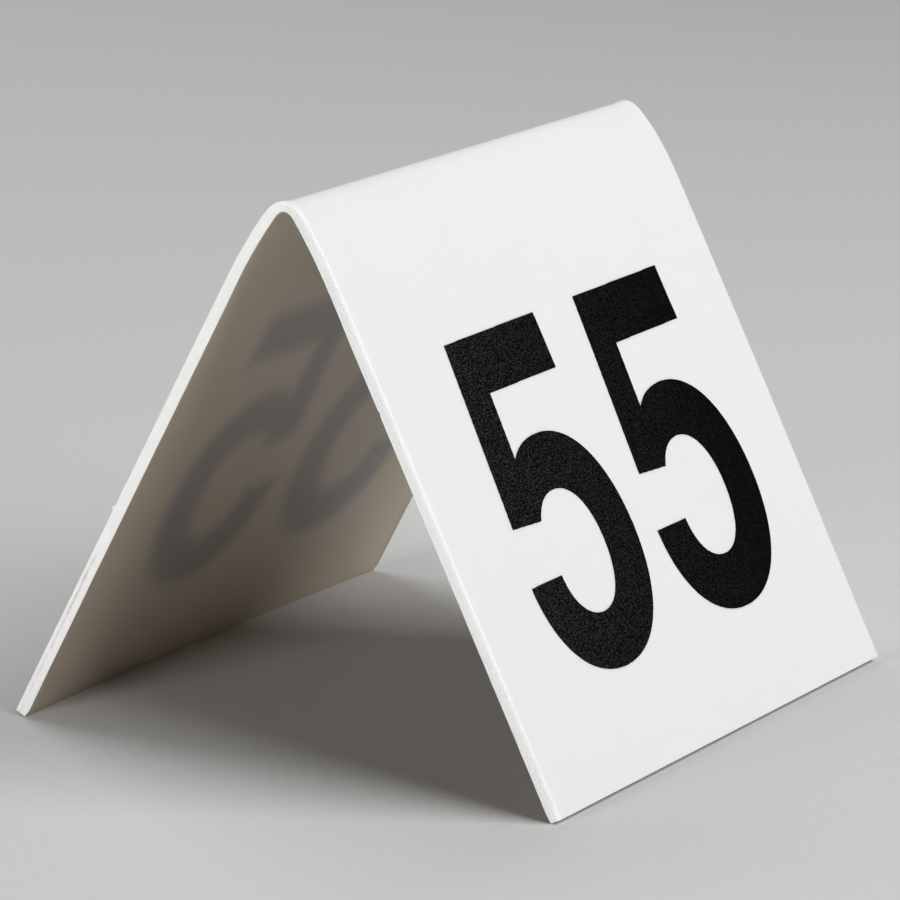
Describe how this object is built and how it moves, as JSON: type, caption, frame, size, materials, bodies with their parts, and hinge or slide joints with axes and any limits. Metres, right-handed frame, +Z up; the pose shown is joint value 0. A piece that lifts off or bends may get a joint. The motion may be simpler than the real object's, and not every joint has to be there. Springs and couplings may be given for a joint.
{
  "type": "tent table number sign",
  "caption": "Free-standing table number sign: one white plastic sheet bent into an upside-down V, with the same black number printed on both outer faces.",
  "frame": {"origin": "on the table, under the middle of the fold", "axes": "+X along the fold, to the right as the front face is read; +Y from the front face to the rear face; +Z up"},
  "size_m": [0.102, 0.0982, 0.087],
  "materials": {
    "white_sheet": "satin white rigid plastic, slightly translucent, with sawn and eased edges",
    "black_ink": "matt black printing ink with a fine light grain"
  },
  "bodies": {
    "root": {"folded_sheet": "white_sheet", "front_left_numeral": "black_ink", "front_right_numeral": "black_ink", "rear_left_numeral": "black_ink", "rear_right_numeral": "black_ink"}
  },
  "joints": []
}
